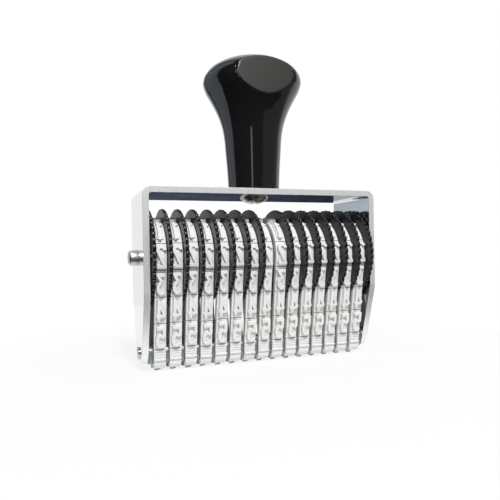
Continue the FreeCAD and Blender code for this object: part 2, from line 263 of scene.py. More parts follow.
# %% Satin steels and brass
def satin_metal(name, colour, roughness, grain, stretch=(1, 1, 1)):
    """A metal with fine streaks; grain is their width and stretch sets their direction."""
    material, shader = new_material(name, colour, metallic=1.0, roughness=roughness)
    streaks = spots(material, grain, detail=5.0, stretch=stretch)
    join(material, spread(material, streaks, roughness * 0.75, roughness * 1.3), shader.inputs["Roughness"])
    darker = tuple(value * 0.86 for value in colour)
    join(material, two_tones(material, streaks, darker, colour), shader.inputs["Base Color"])
    dented(material, shader, streaks, 0.004 * MM)
    return material


# %% [markdown]
# The bands are moulded rubber in a warm light grey, told under soft light by its dull sheen. The Ambient
# Occlusion node finds the corners that are shut in within a few tenths of a millimetre, and paints shade
# there: they are blended to a dark grey, a painted shade that is what makes the figures readable. Wide
# pale clouds of pink and cream keep one band from being a copy of the next.

# %% Rubber of the number bands
# How far into shut-in corners the painted shade reaches, and its dark grey colour.
shade_reach = 0.4 * MM
painted_shade_colour = (0.13, 0.12, 0.115)


def band_rubber():
    material, shader = new_material("band_rubber", (0.80, 0.79, 0.78), roughness=0.5)
    colour = two_tones(material, spots(material, 6 * MM), (0.81, 0.792, 0.785), (0.795, 0.803, 0.785))
    # Painted shade: the Ambient Occlusion node darkens the shut-in corners of the rubber to a dark grey,
    # standing in for the shade that falls there.
    shade_finder = add(material, "ShaderNodeAmbientOcclusion", samples=8)
    shade_finder.inputs["Distance"].default_value = shade_reach
    out_of_shade = spread(material, shade_finder.outputs["AO"], 0, 1, start=0.2, end=0.72)
    colour = blended(material, out_of_shade, painted_shade_colour, colour)
    join(material, colour, shader.inputs["Base Color"])
    grain = spots(material, 0.25 * MM, detail=4.0)
    join(material, spread(material, grain, 0.65, 0.8), shader.inputs["Roughness"])
    shader.inputs["Specular IOR Level"].default_value = 0.3
    dented(material, shader, grain, 0.006 * MM)
    return material


# %% [markdown]
# The wheels are black moulded plastic with a low gloss that thumbs have polished unevenly. The ring between
# the two middle wheels is a plain grey plastic that shows only the grain of its mould. The handle is black
# too, turned and buffed until it mirrors the room, with one flat that was milled and left satin. The flat is
# found by distance along its own normal, so one material does both.

# %% Plastics of the wheels and the middle ring
def wheel_plastic():
    material, shader = new_material("wheel_black", (0.018, 0.018, 0.022), roughness=0.2)
    shader.inputs["IOR"].default_value = 1.5
    wear = spots(material, 1.2 * MM, detail=5.0)
    join(material, spread(material, wear, 0.26, 0.36), shader.inputs["Roughness"])
    tint = two_tones(material, wear, (0.008, 0.009, 0.013), (0.018, 0.021, 0.029))
    join(material, tint, shader.inputs["Base Color"])
    dented(material, shader, spots(material, 0.5 * MM, detail=4.0), 0.008 * MM)
    return material


def spacer_plastic():
    material, shader = new_material("spacer_grey", (0.30, 0.31, 0.31), roughness=0.55)
    grain = spots(material, 0.4 * MM, detail=4.0)
    tint = two_tones(material, grain, (0.26, 0.27, 0.27), (0.33, 0.34, 0.34))
    join(material, tint, shader.inputs["Base Color"])
    dented(material, shader, grain, 0.006 * MM)
    return material


# %% Plastic of the handle, polished and satin
flat_roughness = 0.45
flat_lean = math.radians(5.0)
flat_normal = Vector((0, -math.cos(flat_lean), math.sin(flat_lean)))
flat_point = Vector((0, -10.1 * MM, 71.4 * MM))


def handle_plastic():
    material, shader = new_material("black_gloss", (0.010, 0.010, 0.011), roughness=0.12)
    place = add(material, "ShaderNodeTexCoord")
    away = add(material, "ShaderNodeVectorMath", operation="DOT_PRODUCT")
    away.inputs[1].default_value = flat_normal
    join(material, place.outputs["Object"], away.inputs[0])
    reach = flat_normal.dot(flat_point)
    on_flat = spread(material, away.outputs["Value"], 0, 1, start=reach - 0.05 * MM, end=reach - 0.02 * MM)
    wear = spots(material, 3 * MM, detail=5.0)
    gloss = between(material, on_flat, spread(material, wear, 0.04, 0.09), flat_roughness)
    join(material, gloss, shader.inputs["Roughness"])
    tint = blended(material, on_flat, (0.009, 0.009, 0.010), (0.016, 0.019, 0.014))
    join(material, tint, shader.inputs["Base Color"])
    dented(material, shader, spots(material, 2.5 * MM, detail=3.0), 0.003 * MM)
    return material


# %% [markdown]
# Each finish is made once, under the record's name for it. A satin metal is told by its colour, roughness,
# width of streaks and their direction.

# %% Make every finish once
satin_metals = {
    "brass": ((0.78, 0.60, 0.30), 0.30, 0.3 * MM, (1, 1, 8)),
    "screw_steel": ((0.64, 0.65, 0.65), 0.22, 0.4 * MM, (1, 1, 6)),
    "axle_steel": ((0.60, 0.61, 0.62), 0.25, 0.3 * MM, (0.1, 1, 1)),
    "cap_steel": ((0.82, 0.83, 0.83), 0.42, 0.5 * MM),
    "bar_steel": ((0.58, 0.60, 0.60), 0.35, 0.3 * MM, (0.1, 1, 1)),
    "separator_steel": ((0.34, 0.38, 0.38), 0.5, 0.4 * MM, (1, 1, 5)),
}
finishes = {name: satin_metal(name, *values) for name, values in satin_metals.items()}
finishes.update(plated_steel=plated_steel(), black_gloss=handle_plastic(), wheel_black=wheel_plastic(),
                band_rubber=band_rubber(), spacer_grey=spacer_plastic())
print("finishes", len(finishes))

# %% [markdown]
# A band's path is a closed loop in the YZ plane: up the front, over the wheel, down the back and round the
# two corners of the foot bar. It is told here as a list of steps, each with a length and a turn, and one
# short function walks it. Everything on the band is then placed by its distance along the loop, counted
# from the low end of the front, and by its rise above the rubber's base face.

# %% The path of a band
band_base = 1.5 * MM
band_fit = 0.15 * MM
bar_round = 0.75 * MM
spacer_low, spacer_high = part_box("centre_spacer")
drum_radius = (spacer_high.z - spacer_low.z) / 2
wheel_radius = drum_radius + band_fit + band_base
corner_radius = bar_round + band_base
foot_half = 2.7 * MM
foot_z = 3.15 * MM

reach = math.hypot(foot_half, axle_z - foot_z)
run_length = math.sqrt(reach ** 2 - (wheel_radius - corner_radius) ** 2)
run_tilt = math.asin((wheel_radius - corner_radius) / reach) - math.atan2(foot_half, axle_z - foot_z)
front_angle = math.pi + run_tilt
wrap_turn = math.pi + 2 * run_tilt
corner_turn = math.pi / 2 - run_tilt
wrap_length = wheel_radius * wrap_turn
corner_length = corner_radius * corner_turn

loop_steps = [
    (run_length, 0),
    (wrap_length, wrap_turn),
    (run_length, 0),
    (corner_length, corner_turn),
    (2 * foot_half, 0),
    (corner_length, corner_turn),
]
loop_length = sum(length for length, turn in loop_steps)
print("run mm", round(run_length / MM, 2), "loop mm", round(loop_length / MM, 2))


def outward(angle):
    """Unit direction at an angle in the YZ plane."""
    return Vector((0, math.cos(angle), math.sin(angle)))


def loop_station(distance):
    """Place on the base face and the angle of its outward direction."""
    angle = front_angle
    place = Vector((0, -foot_half, foot_z)) + outward(angle) * corner_radius
    left = distance % loop_length
    for length, turn in loop_steps:
        step = min(left, length)
        if turn:
            radius = length / turn
            centre = place - outward(angle) * radius
            angle -= step / radius
            place = centre + outward(angle) * radius
        else:
            place = place + outward(angle - math.pi / 2) * step
        left -= step
        if left <= 0:
            break
    return place, angle


# %% [markdown]
# Such a band is moulded flat and joined into a loop, and it is modelled the same way: first as a straight
# strip with all its figures, then bent along the path. One strip serves all fifteen bands, and each can be
# bent a little further round than its neighbour, as thumbs leave them. The strip starts as a rounded
# rectangle of edges that is extruded again and again. Where the mould has a groove between two figures, or
# a rib at the fold, the rings stand close together and their outer corners go in or out. A rib or a block is
# told in millimetres by its start and end, from the low end of the front, and by its rise.

# %% Grooves and ribs along the strip
figure_pitch = 6.3 * MM
first_figure = 2.75 * MM
figures_over_top = 11
groove_width = 0.16 * MM
groove_depth = 0.4 * MM
edge_slope = 0.04 * MM
plain_tail = 0.55 * MM
strip_end = first_figure + figures_over_top * figure_pitch + plain_tail
strip_start = strip_end - loop_length
back_fold = 2 * run_length + wrap_length - loop_length

fold_ribs = [(2.15, 2.5, 0.14), (1.5, 1.85, 0.10), (0.95, 1.25, 0.10), (0.1, 0.5, 0.42)]
fold_blocks = [(-0.55, -0.45, 0.30), (-1.15, -1.05, 0.42), (-1.75, -1.65, 0.48), (-2.35, -2.25, 0.40),
               (-2.85, -2.75, 0.26)]


def bump(start, end, rise):
    """Four rings that raise the surface by a rise between two places."""
    return [(start, 0), (start + edge_slope, rise), (end - edge_slope, rise), (end, 0)]


def fold_rings():
    """Rings of the ribs above a lower corner and of the thick block round it, as place and rise."""
    rings = []
    for start, end, rise in fold_ribs:
        rings += bump(start * MM, end * MM, rise * MM)
    for start, end, rise in fold_blocks:
        rings += [(start * MM, rise * MM), (end * MM, rise * MM)]
    rings += [(fold_blocks[0][1] * MM + edge_slope, 0), (fold_blocks[-1][0] * MM - edge_slope, 0)]
    return rings


def strip_rings():
    """Place and rise of every ring of the strip, in order."""
    rings = [(strip_start, 0), (strip_end, 0)]
    for index in range(figures_over_top + 1):
        place = first_figure + index * figure_pitch
        rings += bump(place - groove_width / 2, place + groove_width / 2, -groove_depth)
    rings += fold_rings()
    rings += [(back_fold - place, rise) for place, rise in fold_rings()]
    return sorted(rings)


# %% Round corners and turn faces outwards
def rounded(mesh, geom, offset, segments, affect="VERTICES"):
    """Round corners, or edges."""
    bmesh.ops.bevel(mesh, geom=geom, affect=affect, offset=offset, segments=segments,
                    profile=0.5, material=-1)


def outwards(mesh):
    """Turn every face outwards."""
    bmesh.ops.recalc_face_normals(mesh, faces=mesh.faces[:])


# %% Extrude the strip
section_round = 0.14 * MM


def section_ring(mesh):
    """Rounded rectangle of edges in the XZ plane, its top side at the height zero."""
    bmesh.ops.create_grid(mesh, x_segments=1, y_segments=1, size=0.5)
    bmesh.ops.scale(mesh, vec=(band_width, band_base, 1), verts=mesh.verts[:])
    rounded(mesh, mesh.verts[:], section_round, 3)
    bmesh.ops.rotate(mesh, matrix=Matrix.Rotation(math.pi / 2, 3, "X"), verts=mesh.verts[:])
    bmesh.ops.translate(mesh, vec=(0, 0, -band_base / 2), verts=mesh.verts[:])
    bmesh.ops.delete(mesh, geom=mesh.faces[:], context="FACES_ONLY")
    return mesh.edges[:]


def flat_strip():
    """The plain strip of rubber with its grooves and ribs, closed at both ends."""
    mesh = bmesh.new()
    ring = section_ring(mesh)
    bmesh.ops.edgeloop_fill(mesh, edges=ring)
    rings = []
    before = 0
    for index, (place, rise) in enumerate(strip_rings()):
        if index:
            grown = bmesh.ops.extrude_edge_only(mesh, edges=ring)["geom"]
            ring = [item for item in grown if isinstance(item, bmesh.types.BMEdge)]
        verts = list({vert for edge in ring for vert in edge.verts})
        bmesh.ops.translate(mesh, vec=(0, place - before, 0), verts=verts)
        rings.append((verts, rise))
        before = place
    bmesh.ops.edgeloop_fill(mesh, edges=ring)
    for verts, rise in rings:
        outer = [vert for vert in verts if vert.co.z > -1.01 * section_round]
        bmesh.ops.translate(mesh, vec=(0, 0, rise), verts=outer)
    outwards(mesh)
    return mesh


def opened(data):
    """A bmesh of mesh data."""
    mesh = bmesh.new()
    mesh.from_mesh(data)
    return mesh


def to_data(mesh, name):
    """Turn a bmesh into mesh data."""
    data = bpy.data.meshes.new(name)
    mesh.to_mesh(data)
    mesh.free()
    return data


def saved(mesh, name):
    """Turn a bmesh into mesh data, and say how big it is and whether it is closed."""
    open_edges = sum(not edge.is_manifold for edge in mesh.edges)
    print(name, "verts", len(mesh.verts), "open edges", open_edges,
          "volume mm3", round(mesh.calc_volume() / MM ** 3, 2))
    return to_data(mesh, name)


strip_mesh = saved(flat_strip(), "strip")

# %% [markdown]
# The figures are raised strokes with sloping sides, wider at the root so that they come out of the mould.
# A stroke is drawn as a flat curve, and a Bevel Object sweeps the tapered section along it. It follows how
# such figures are cut: a tapered tool runs along the middle line of each stroke. Text objects with a font
# would give printed letters with thin and thick parts, which the rubber figures don't have.

# %% Section and strokes of the figures
stroke_top = 0.70 * MM
stroke_root = 0.92 * MM
figure_height = 5.0 * MM
figure_relief = 0.9 * MM
figure_bury = 0.35 * MM


def to_scene(name, data):
    """A new object in the scene."""
    thing = bpy.data.objects.new(name, data)
    bpy.context.scene.collection.objects.link(thing)
    return thing


def flat_curve(name, points, closed):
    """A flat curve of straight pieces through points."""
    data = bpy.data.curves.new(name, "CURVE")
    data.dimensions = "2D"
    data.fill_mode = "NONE"
    spline = data.splines.new("POLY")
    spline.points.add(len(points) - 1)
    for spot, (x, y) in zip(spline.points, points):
        spot.co = (x, y, 0, 1)
    spline.use_cyclic_u = closed
    return data


stroke_section = to_scene("stroke_section", flat_curve("stroke_section", [
    (-stroke_root / 2, -figure_bury), (stroke_root / 2, -figure_bury),
    (stroke_top / 2, figure_relief), (-stroke_top / 2, figure_relief)], True))


def evaluated_mesh(thing):
    """The mesh that an object shows with its modifiers, and the object is removed."""
    bpy.context.view_layer.update()
    graph = bpy.context.evaluated_depsgraph_get()
    data = bpy.data.meshes.new_from_object(thing.evaluated_get(graph))
    bpy.data.objects.remove(thing)
    return data


def stroke(points):
    """One tapered stroke along points; it is closed where the last point meets the first."""
    closed = math.dist(points[0], points[-1]) < same_place
    data = flat_curve("stroke", points[:-1] if closed else points, closed)
    data.bevel_mode = "OBJECT"
    data.bevel_object = stroke_section
    data.use_fill_caps = True
    mesh = opened(evaluated_mesh(to_scene("stroke", data)))
    bmesh.ops.remove_doubles(mesh, verts=mesh.verts[:], dist=same_place)
    outwards(mesh)
    return to_data(mesh, "stroke")


# %% [markdown]
# Each figure is a few strokes in millimetres, drawn about its own middle. Ovals and bowls are arcs. The
# figures are drawn the way they read and are turned over when they go on the band, because a stamp has to
# carry them mirrored.

# %% Shapes of the figures
side = 0.80
top = (figure_height - stroke_top) / 2 / MM
end = figure_height / 2 / MM


def arc(across, up, wide, tall, start, finish, steps=14):
    """Points of an arc about a centre, with its angles in degrees."""
    turns = [math.radians(start + (finish - start) * step / steps) for step in range(steps + 1)]
    return [(across + wide * math.cos(turn), up + tall * math.sin(turn)) for turn in turns]


def turned_over(lines):
    """The same lines turned by half a turn."""
    return [[(-x, -y) for x, y in line] for line in lines]


six = [arc(0, -top + 1.2, side, 1.2, 0, 360),
       arc(0.45, -top + 1.35, side + 0.45, 2.95, 185, 88) + [(0.85, top - 0.08)]]
figure_lines = {
    "0": [arc(0, top - side, side, side, 0, 180) + arc(0, side - top, side, side, 180, 360)[:-1]
          + [(side, top - side)]],
    "1": [[(0.12, -end), (0.12, end)], [(0.12, top), (-0.6, top - 0.8)]],
    "2": [arc(0, top - side, side, side, 178, -25) + [(-side, -top)],
          [(-side - 0.3, -top), (side + 0.3, -top)]],
    "3": [[(-side, top), (side, top), (-0.12, 0.55)], arc(-0.02, -top + 1.28, side, 1.28, 100, -150)],
    "4": [[(0.52, -end), (0.52, top), (-side - 0.1, -1.15)], [(-side - 0.1, -1.15), (side + 0.3, -1.15)]],
    "5": [[(side + 0.15, top), (-side, top), (-side, 0.35)] + arc(-0.02, -top + 1.3, side, 1.3, 130, -145)],
    "6": six,
    "7": [[(-side - 0.1, top), (side, top), (-0.3, -end)]],
    "8": [arc(0, top - 1.08, side * 0.92, 1.08, 0, 360), arc(0, -top + 1.12, side, 1.12, 0, 360)],
    "9": turned_over(six),
    "dash": [[(-side, 0), (side, 0)]],
}

# %% [markdown]
# The rubber between the strokes of a figure isn't as deep as the rubber round it: the mould leaves a low
# web there, which keeps a thin stroke from bending over. So each figure also gets a low slab inside its
# outline, with round or square ends as the figure has.

# %% Low web inside each figure
web_rise = 0.34 * MM
web_bury = 0.8 * figure_bury
web_round = 0.97 * side * MM
round_ends = {"0": (True, True), "2": (True, False), "3": (False, True), "5": (False, True),
              "6": (True, True), "8": (True, True), "9": (True, True)}


def web_slab(name):
    """The low web inside a figure's outline."""
    half = 0.1 * MM if name == "dash" else top * MM
    mesh = bmesh.new()
    bmesh.ops.create_grid(mesh, x_segments=1, y_segments=1, size=0.5)
    bmesh.ops.scale(mesh, vec=(2 * side * MM, 2 * half, 1), verts=mesh.verts[:])
    round_top, round_foot = round_ends.get(name, (False, False))
    corners = [vert for vert in mesh.verts if (round_top if vert.co.y > 0 else round_foot)]
    if corners:
        rounded(mesh, corners, web_round, 8)
    bmesh.ops.translate(mesh, vec=(0, 0, -web_bury), verts=mesh.verts[:])
    grown = bmesh.ops.extrude_face_region(mesh, geom=mesh.faces[:])["geom"]
    raised = [item for item in grown if isinstance(item, bmesh.types.BMVert)]
    bmesh.ops.translate(mesh, vec=(0, 0, web_bury + web_rise), verts=raised)
    outwards(mesh)
    return to_data(mesh, "web")


# %% [markdown]
# Strokes and web are made one by an exact boolean, whose Use Self also sorts out a stroke that crosses
# itself, as the 4's does. A small bevel then softens the edges. Both leave slivers narrower than a hair, so
# points closer than that are merged and the holes this opens are filled, or the figure wouldn't be closed.

# %% Join the strokes of each figure to its web
figure_soft = 0.06 * MM
sliver = 0.02 * MM


def figure_mesh(name, lines):
    """One figure as a closed mesh: its strokes and web made one, with softened edges."""
    parts = [to_scene("part", stroke([(x * MM, y * MM) for x, y in line])) for line in lines]
    parts.append(to_scene("part", web_slab(name)))
    for other in parts[1:]:
        union = parts[0].modifiers.new("union", "BOOLEAN")
        union.operation = "UNION"
        union.solver = "EXACT"
        union.use_self = True
        union.object = other
    soft = parts[0].modifiers.new("soft", "BEVEL")
    soft.width = figure_soft
    soft.segments = 2
    soft.limit_method = "ANGLE"
    soft.angle_limit = math.radians(50)
    mesh = opened(evaluated_mesh(parts[0]))
    for other in parts[1:]:
        bpy.data.objects.remove(other)
    bmesh.ops.remove_doubles(mesh, verts=mesh.verts[:], dist=sliver)
    bmesh.ops.dissolve_degenerate(mesh, dist=sliver, edges=mesh.edges[:])
    bmesh.ops.holes_fill(mesh, edges=mesh.edges[:])
    bmesh.ops.delete(mesh, geom=[edge for edge in mesh.edges if edge.is_wire], context="EDGES")
    outwards(mesh)
    return saved(mesh, "figure_" + name)


figure_meshes = {name: figure_mesh(name, lines) for name, lines in figure_lines.items()}

# %% [markdown]
# The figures are set on the strip and united with it, since the real band is one moulding. An exact
# boolean copes with the many faces that lie close together. Going up the front, over the wheel and down the
# back, the band carries the figures in this order, with one blank place before the dash, and the 6 is the
# one that stands on the paper.

# %% Unite strip and figures
figure_order = ["5", "4", "3", "2", "1", "0", None, "dash", "9", "8", "7"]
print_middle = -corner_length - foot_half


def placed_figure(name, distance):
    """A figure, mirrored, at its place on the strip."""
    data = figure_meshes[name].copy()
    data.transform(Matrix.Translation((0, distance, 0)) @ Matrix.Scale(-1, 4, (1, 0, 0)))
    data.flip_normals()
    return data


figure_group = bpy.data.collections.new("figures")
bpy.context.scene.collection.children.link(figure_group)
set_places = [(name, first_figure + (index + 0.5) * figure_pitch)
              for index, name in enumerate(figure_order) if name]
for name, distance in set_places + [("6", print_middle)]:
    figure_group.objects.link(bpy.data.objects.new("figure", placed_figure(name, distance)))
strip = to_scene("strip", strip_mesh)
union = strip.modifiers.new("union", "BOOLEAN")
union.operation = "UNION"
union.solver = "EXACT"
union.operand_type = "COLLECTION"
union.collection = figure_group
united = evaluated_mesh(strip)
for thing in list(figure_group.objects) + [stroke_section]:
    bpy.data.objects.remove(thing)
bpy.data.collections.remove(figure_group)
print("united strip faces", len(united.polygons))

# %% [markdown]
# Then the strip is cut across wherever it will bend, or its long faces couldn't follow the curves of the
# wheel and the foot bar. The two end faces are taken away, because the ends will be joined.

# %% Cut the strip across where it bends
wheel_cut = 0.9 * MM
corner_cut = 0.28 * MM
cut_margin = 0.6 * MM
seam_near = 0.0005 * MM


def cut_places():
    """Where the strip is cut across, over the wheel and at the two corners."""
    zones = [(run_length, run_length + wrap_length, wheel_cut), (-corner_length, 0, corner_cut),
             (back_fold, back_fold + corner_length, corner_cut)]
    places = []
    for low, high, pitch in zones:
        span = high - low + 2 * cut_margin
        count = math.ceil(span / pitch)
        places += [low - cut_margin + index * span / count for index in range(count + 1)]
    return places


mesh = opened(united)
for place in cut_places():
    bmesh.ops.bisect_plane(mesh, geom=mesh.verts[:] + mesh.edges[:] + mesh.faces[:], dist=seam_near,
                           plane_co=(0, place, 0), plane_no=(0, 1, 0))
ends = [face for face in mesh.faces if all(
    min(abs(vert.co.y - strip_start), abs(vert.co.y - strip_end)) < same_place for vert in face.verts)]
bmesh.ops.delete(mesh, geom=ends, context="FACES_ONLY")
flat_band = saved(mesh, "flat_band")

# %% [markdown]
# Finished pieces go through one short function. It gives a piece the finish that the record names for its
# node, hides that node, and lets the piece ride on the node's body, so a wheel's new mesh turns with it.

# %% Stand a finished piece in for its node
slot_of = {row["node"]: row["material_slot"] for row in frame["record"]["subparts"]}
body_of = {node: body for body, nodes in frame["record"]["behaviour"]["bodies"].items() for node in nodes}


def stand_in(node, data):
    """Make a mesh the visible piece of a node."""
    piece = to_scene("finished_" + node, data)
    piece.data.materials.clear()
    piece.data.materials.append(finishes[slot_of[node]])
    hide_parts(node)
    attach(piece, body_of[node])
    return piece


def smoothed(data, angle=35):
    """Smooth shading that keeps edges sharp past an angle in degrees."""
    data.shade_smooth()
    data.set_sharp_from_angle(angle=math.radians(angle))
    return data


def copied(data, matrix):
    """A copy of a mesh at its own place, with its faces outwards."""
    mesh = opened(data)
    bmesh.ops.transform(mesh, matrix=matrix, verts=mesh.verts[:])
    outwards(mesh)
    return smoothed(to_data(mesh, data.name))


# %% [markdown]
# Bending moves every vertex of the strip to its place on the loop: its distance along the strip finds the
# station, and its height is measured outwards from there. The two ends meet on the plain stretch at the
# back, where their vertices are merged. The short list says in millimetres how much further up the front
# each band was turned by its thumb wheel.

# %% Bend the bands
band_turns = [-0.1, 0, 0.2, -0.2, 0.1, 0.1, -0.3, 0, 0, 0.1, 0.2, 0.1, 0.1, 0.1, 0.2]


def bent_band(x, turned):
    """The strip closed into a loop at its place across the machine."""
    mesh = opened(flat_band)
    for vert in mesh.verts:
        place, angle = loop_station(vert.co.y + turned)
        vert.co = place + outward(angle) * vert.co.z + Vector((x + vert.co.x, 0, 0))
    bmesh.ops.remove_doubles(mesh, verts=mesh.verts[:], dist=seam_near)
    outwards(mesh)
    return mesh


for name, x, turned in zip(band_names, band_x, band_turns):
    stand_in(name, smoothed(saved(bent_band(x, turned * MM), name)))

# %% [markdown]
# A thumb wheel is turned about the axle, so it starts as half of its section: bore, hub, drum and disc.
# Rounding the corners of that flat outline and spinning it gives every soft edge of the moulding at once.
# The teeth are then pressed into the rim: between two teeth the rim's points sink to the root.

# %% Outline and teeth of a wheel
disc_radius = 11.85 * MM
disc_thickness = 0.8 * MM
bore_radius = 1.55 * MM
tooth_count = 44
tooth_depth = 0.62 * MM
steps_per_tooth = 8
rim_round = 0.2 * MM
edge_round = 0.08 * MM
wheel_low, wheel_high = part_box("number_wheel_01")
disc_left = wheel_low.x - band_x[0]
drum_right = wheel_high.x - band_x[0]


def wheel_mesh():
    """One wheel about the X axis, its disc on the left."""
    mesh = bmesh.new()
    inner = disc_left + disc_thickness
    corners = [(disc_left, bore_radius), (disc_left, disc_radius), (inner, disc_radius),
               (inner, drum_radius), (drum_right, drum_radius), (drum_right, bore_radius)]
    mesh.faces.new([mesh.verts.new((x, 0, radius)) for x, radius in corners])
    rim = [vert for vert in mesh.verts if vert.co.z > disc_radius - edge_round]
    plain = [vert for vert in mesh.verts if vert not in rim]
    rounded(mesh, rim, rim_round, 3)
    rounded(mesh, plain, edge_round, 2)
    bmesh.ops.delete(mesh, geom=mesh.faces[:], context="FACES_ONLY")
    root = disc_radius - tooth_depth
    for flank in [edge for edge in mesh.edges if max(vert.co.z for vert in edge.verts) > root
                  and abs(edge.verts[0].co.z - edge.verts[1].co.z) > tooth_depth]:
        above = max(flank.verts, key=lambda vert: vert.co.z)
        share = (above.co.z - root) / flank.calc_length()
        bmesh.utils.edge_split(flank, above, share)
    bmesh.ops.spin(mesh, geom=mesh.verts[:] + mesh.edges[:], cent=(0, 0, 0), axis=(1, 0, 0),
                   angle=2 * math.pi, steps=tooth_count * steps_per_tooth, use_merge=True)
    for vert in mesh.verts:
        radius = math.hypot(vert.co.y, vert.co.z)
        if radius > root:
            turn = math.atan2(vert.co.z, vert.co.y) / (2 * math.pi) * tooth_count
            across = 2 * (turn % 1) - 1
            raised = root + (radius - root) * math.sqrt(max(0, 1 - across ** 2))
            vert.co.y *= raised / radius
            vert.co.z *= raised / radius
    outwards(mesh)
    return saved(mesh, "wheel")


# %% Put the wheels on the axle
wheel_data = wheel_mesh()
for name, x in zip(wheel_names, band_x):
    low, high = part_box(name)
    disc_on_left = abs(low.x - x) > abs(high.x - x)
    flip = Matrix.Identity(4) if disc_on_left else Matrix.Scale(-1, 4, (1, 0, 0))
    stand_in(name, copied(wheel_data, Matrix.Translation((x, 0, axle_z)) @ flip))
print("wheels", len(wheel_names))

# %% [markdown]
# The handle is turned, so it is spun too. Its side is one smooth curve, drawn through a dozen measured
# points with automatic Bezier handles, and its foot holds the pocket for the brass insert. The flat is cut
# with a plane, closed with one face, and its rim is beveled, because that thin rim catches the light. Points
# of the side that the cut passes closely are welded onto the rim first, and short edges on the rim are
# collapsed, or the bevel would fold over itself there.

# %% Outline of the handle
handle_low, handle_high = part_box("handle")
handle_foot = handle_low.z
handle_tall = handle_high.z - handle_low.z
bulb_radius = 12.74 * MM
foot_radius = 6.66 * MM
foot_soft = 0.25 * MM
pocket_radius = 3.02 * MM
pocket_depth = 13.02 * MM
side_shares = [(0.145, 0.537), (0.289, 0.565), (0.434, 0.600), (0.520, 0.653), (0.607, 0.744),
               (0.694, 0.866), (0.760, 0.962), (0.818, 1.000), (0.879, 0.937), (0.931, 0.776),
               (0.971, 0.530)]


def handle_side():
    """Points up the smooth side of the handle, from the foot to the crown."""
    knots = [(foot_radius, foot_soft)]
    knots += [(radius * bulb_radius, height * handle_tall) for height, radius in side_shares]
    knots += [(0, handle_tall)]
    data = bpy.data.curves.new("handle_side", "CURVE")
    data.resolution_u = 8
    spline = data.splines.new("BEZIER")
    spline.bezier_points.add(len(knots) - 1)
    for spot, (radius, height) in zip(spline.bezier_points, knots):
        spot.co = (radius, 0, height)
        spot.handle_left_type = spot.handle_right_type = "AUTO"
    first, last = spline.bezier_points[0], spline.bezier_points[-1]
    first.handle_right_type = last.handle_left_type = "FREE"
    first.handle_right = (foot_radius, 0, side_shares[0][0] * handle_tall / 3)
    last.handle_left = (side_shares[-1][1] * bulb_radius * 0.45, 0, handle_tall)
    line = evaluated_mesh(to_scene("handle_side", data))
    return [vert.co.copy() for vert in line.vertices]


# %% Turn the handle and cut its flat
handle_steps = 128
rim_soft = 0.22 * MM
rim_clear = 0.35 * MM


def handle_mesh():
    """The turned handle with its pocket and its thumb flat."""
    mesh = bmesh.new()
    corners = [Vector((0, 0, pocket_depth)), Vector((pocket_radius, 0, pocket_depth)),
               Vector((pocket_radius, 0, 0)), Vector((foot_radius - foot_soft, 0, 0))]
    chain = [mesh.verts.new(place) for place in corners + handle_side()]
    edges = [mesh.edges.new(pair) for pair in zip(chain, chain[1:])]
    bmesh.ops.spin(mesh, geom=chain + edges, cent=(0, 0, 0), axis=(0, 0, 1), angle=2 * math.pi,
                   steps=handle_steps, use_merge=True)
    bmesh.ops.remove_doubles(mesh, verts=mesh.verts[:], dist=same_place)
    bmesh.ops.translate(mesh, vec=(0, 0, handle_foot), verts=mesh.verts[:])
    outwards(mesh)
    cut = bmesh.ops.bisect_plane(mesh, geom=mesh.verts[:] + mesh.edges[:] + mesh.faces[:],
                                 plane_co=flat_point, plane_no=flat_normal, clear_outer=True)["geom_cut"]
    rim = {item for item in cut if isinstance(item, bmesh.types.BMVert)}
    onto = {}
    for edge in mesh.edges:
        kept = [vert for vert in edge.verts if vert in rim]
        if len(kept) == 1 and edge.calc_length() < rim_clear:
            onto[edge.other_vert(kept[0])] = kept[0]
    bmesh.ops.weld_verts(mesh, targetmap=onto)
    short = [edge for edge in mesh.edges if edge.is_boundary and edge.calc_length() < rim_clear]
    bmesh.ops.collapse(mesh, edges=short)
    filled = bmesh.ops.edgeloop_fill(mesh, edges=[edge for edge in mesh.edges if edge.is_boundary])
    rim = filled["faces"][0].edges[:]
    rounded(mesh, rim, rim_soft, 3, affect="EDGES")
    flat_face = max(mesh.faces, key=lambda face: face.calc_area())
    bmesh.ops.inset_region(mesh, faces=[flat_face], thickness=rim_soft)
    outwards(mesh)
    return saved(mesh, "handle")


stand_in("handle", smoothed(handle_mesh(), 50))

# %% [markdown]
# The frame and the small steel parts have the right shape already, but a perfectly sharp edge never catches
# light. A copy of each node's triangles is merged and its flat areas are made whole again, then a Bevel
# modifier softens every edge past an angle. A Weighted Normal modifier lets large faces rule the shading, so
# a mirror-like flat face stays flat up to its rounded edge. Both stay live and can be tuned.

# %% Soften the edges of the steel parts
def dressed(node, soft, segments=2):
    """A copy of a node's mesh with softened edges, standing in for it."""
    mesh = opened(frame["nodes"][node].data)
    bmesh.ops.remove_doubles(mesh, verts=mesh.verts[:], dist=same_place)
    bmesh.ops.dissolve_limit(mesh, angle_limit=math.radians(0.5), verts=mesh.verts[:], edges=mesh.edges[:])
    outwards(mesh)
    data = saved(mesh, node)
    data.shade_smooth()
    piece = stand_in(node, data)
    bevel = piece.modifiers.new("soft", "BEVEL")
    bevel.width = soft
    bevel.segments = segments
    bevel.limit_method = "ANGLE"
    bevel.angle_limit = math.radians(30)
    even = piece.modifiers.new("even", "WEIGHTED_NORMAL")
    even.weight = 100


screw_soft = 0.06 * MM
sheet_soft = 0.08 * MM
cap_soft = 0.05 * MM

dressed("frame", 0.12 * MM, segments=3)
for node in ("handle_screw", "foot_screw_left", "foot_screw_right"):
    dressed(node, screw_soft)
for node in ["handle_washer"] + [name for name in frame["nodes"] if name.startswith("separator_")]:
    dressed(node, sheet_soft)
for node in ("axle_cap_left", "axle_cap_right"):
    dressed(node, cap_soft)

# %% [markdown]
# The pieces inside keep their CAD meshes. They hardly show, so they only take their finish.

